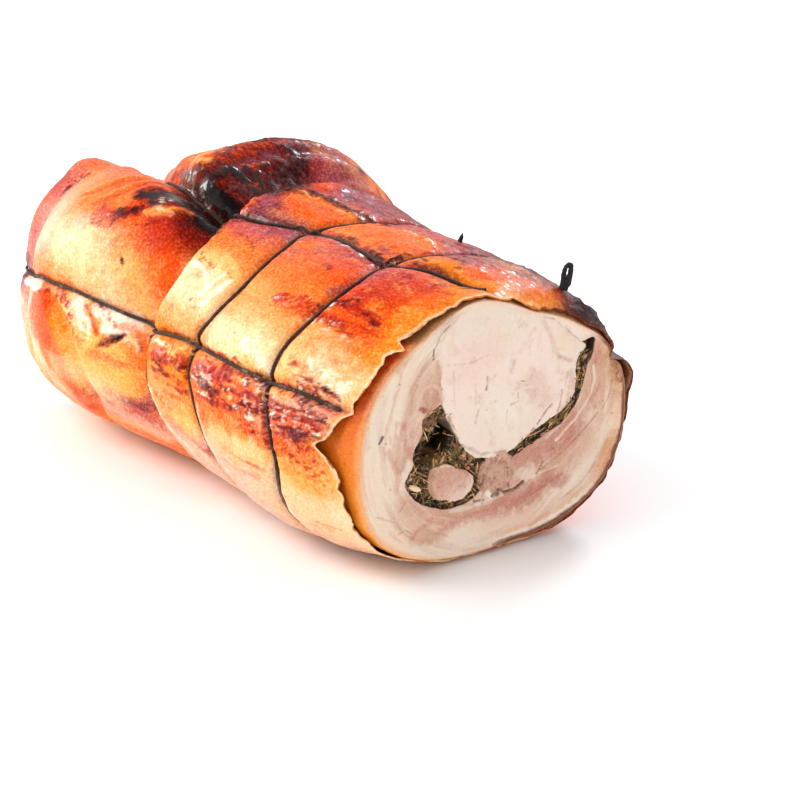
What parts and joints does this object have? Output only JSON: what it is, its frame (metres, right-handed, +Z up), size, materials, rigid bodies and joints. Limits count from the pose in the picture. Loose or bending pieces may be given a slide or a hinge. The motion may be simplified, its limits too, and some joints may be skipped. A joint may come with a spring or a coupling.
{
  "type": "porchetta",
  "caption": "Rolled, tied and roasted pork belly with loin, fillet and herbs inside, cut square across one end, lying on its flattened underside.",
  "frame": {"origin": "middle of the box that holds the whole piece, at the level of its flat underside", "axes": "+X along the roll towards the cut face, +Y across it, +Z up"},
  "size_m": [0.3864, 0.2286, 0.1838],
  "materials": {
    "rind": "glossy roasted skin, orange to dark brown",
    "meat": "moist cooked pork, pale pink-beige with ivory fat",
    "herbs": "dark chopped herbs with stalks and seeds",
    "twine": "charred cotton kitchen twine"
  },
  "bodies": {
    "root": {"belly_roll": "rind", "loin": "meat", "fillet": "meat", "herb_pocket": "herbs", "herb_seam": "herbs", "twine_loop_far": "twine", "twine_loop_middle": "twine", "twine_loop_front": "twine", "twine_sides": "twine", "twine_top": "twine", "twine_end_front": "twine", "twine_end_back": "twine"}
  },
  "joints": []
}
